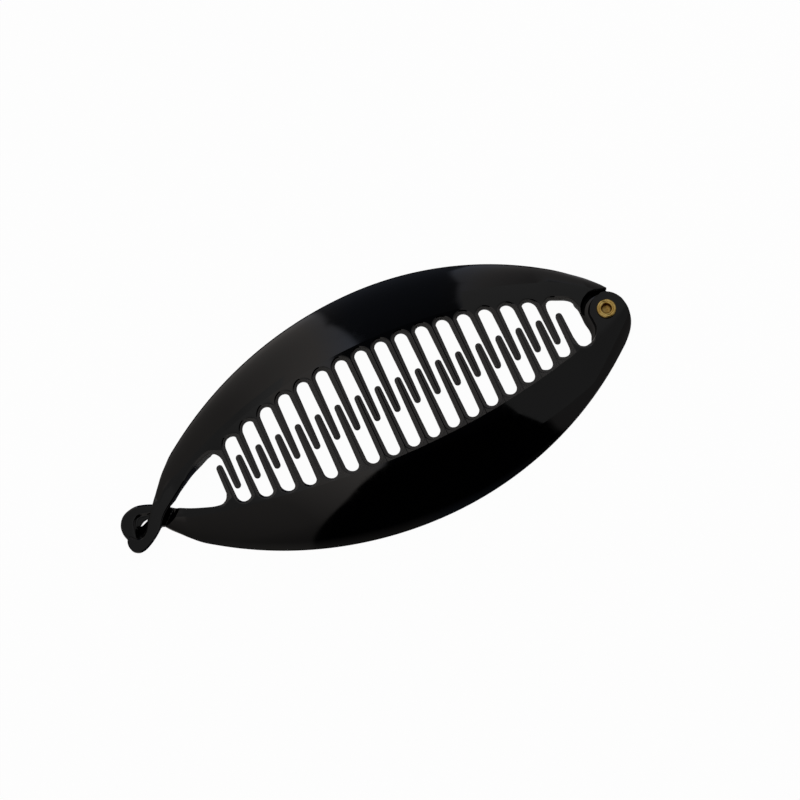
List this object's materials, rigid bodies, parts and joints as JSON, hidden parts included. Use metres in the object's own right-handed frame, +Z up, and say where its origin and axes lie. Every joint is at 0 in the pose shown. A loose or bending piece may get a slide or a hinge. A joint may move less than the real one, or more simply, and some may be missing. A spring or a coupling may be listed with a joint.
{
  "type": "interlocking comb hair clip",
  "caption": "Arched interlocking comb hair clip whose toothed jaws turn on a brass rivet at one end and hook together at the other.",
  "frame": {"origin": "centre of the clip's footprint on the surface that its rims lie on", "axes": "+X along the clip towards the rivet, +Y across it towards the jaw that carries the over-lying hook, +Z up, out of the arch's round side"},
  "size_m": [0.1471, 0.0666, 0.0112],
  "materials": {
    "black_plastic": "polished injection-moulded black plastic",
    "brass": "bright brass, slightly worn"
  },
  "bodies": {
    "upper": {"upper_jaw": "black_plastic", "hinge_rivet": "brass"},
    "lower": {"lower_jaw": "black_plastic"}
  },
  "joints": [
    {"name": "jaw_hinge", "type": "hinge", "parent": "upper", "child": "lower", "pos_m": [0.0679, -0.0012, 0], "axis": [0, 0, 1], "range_deg": [0, 90]}
  ]
}
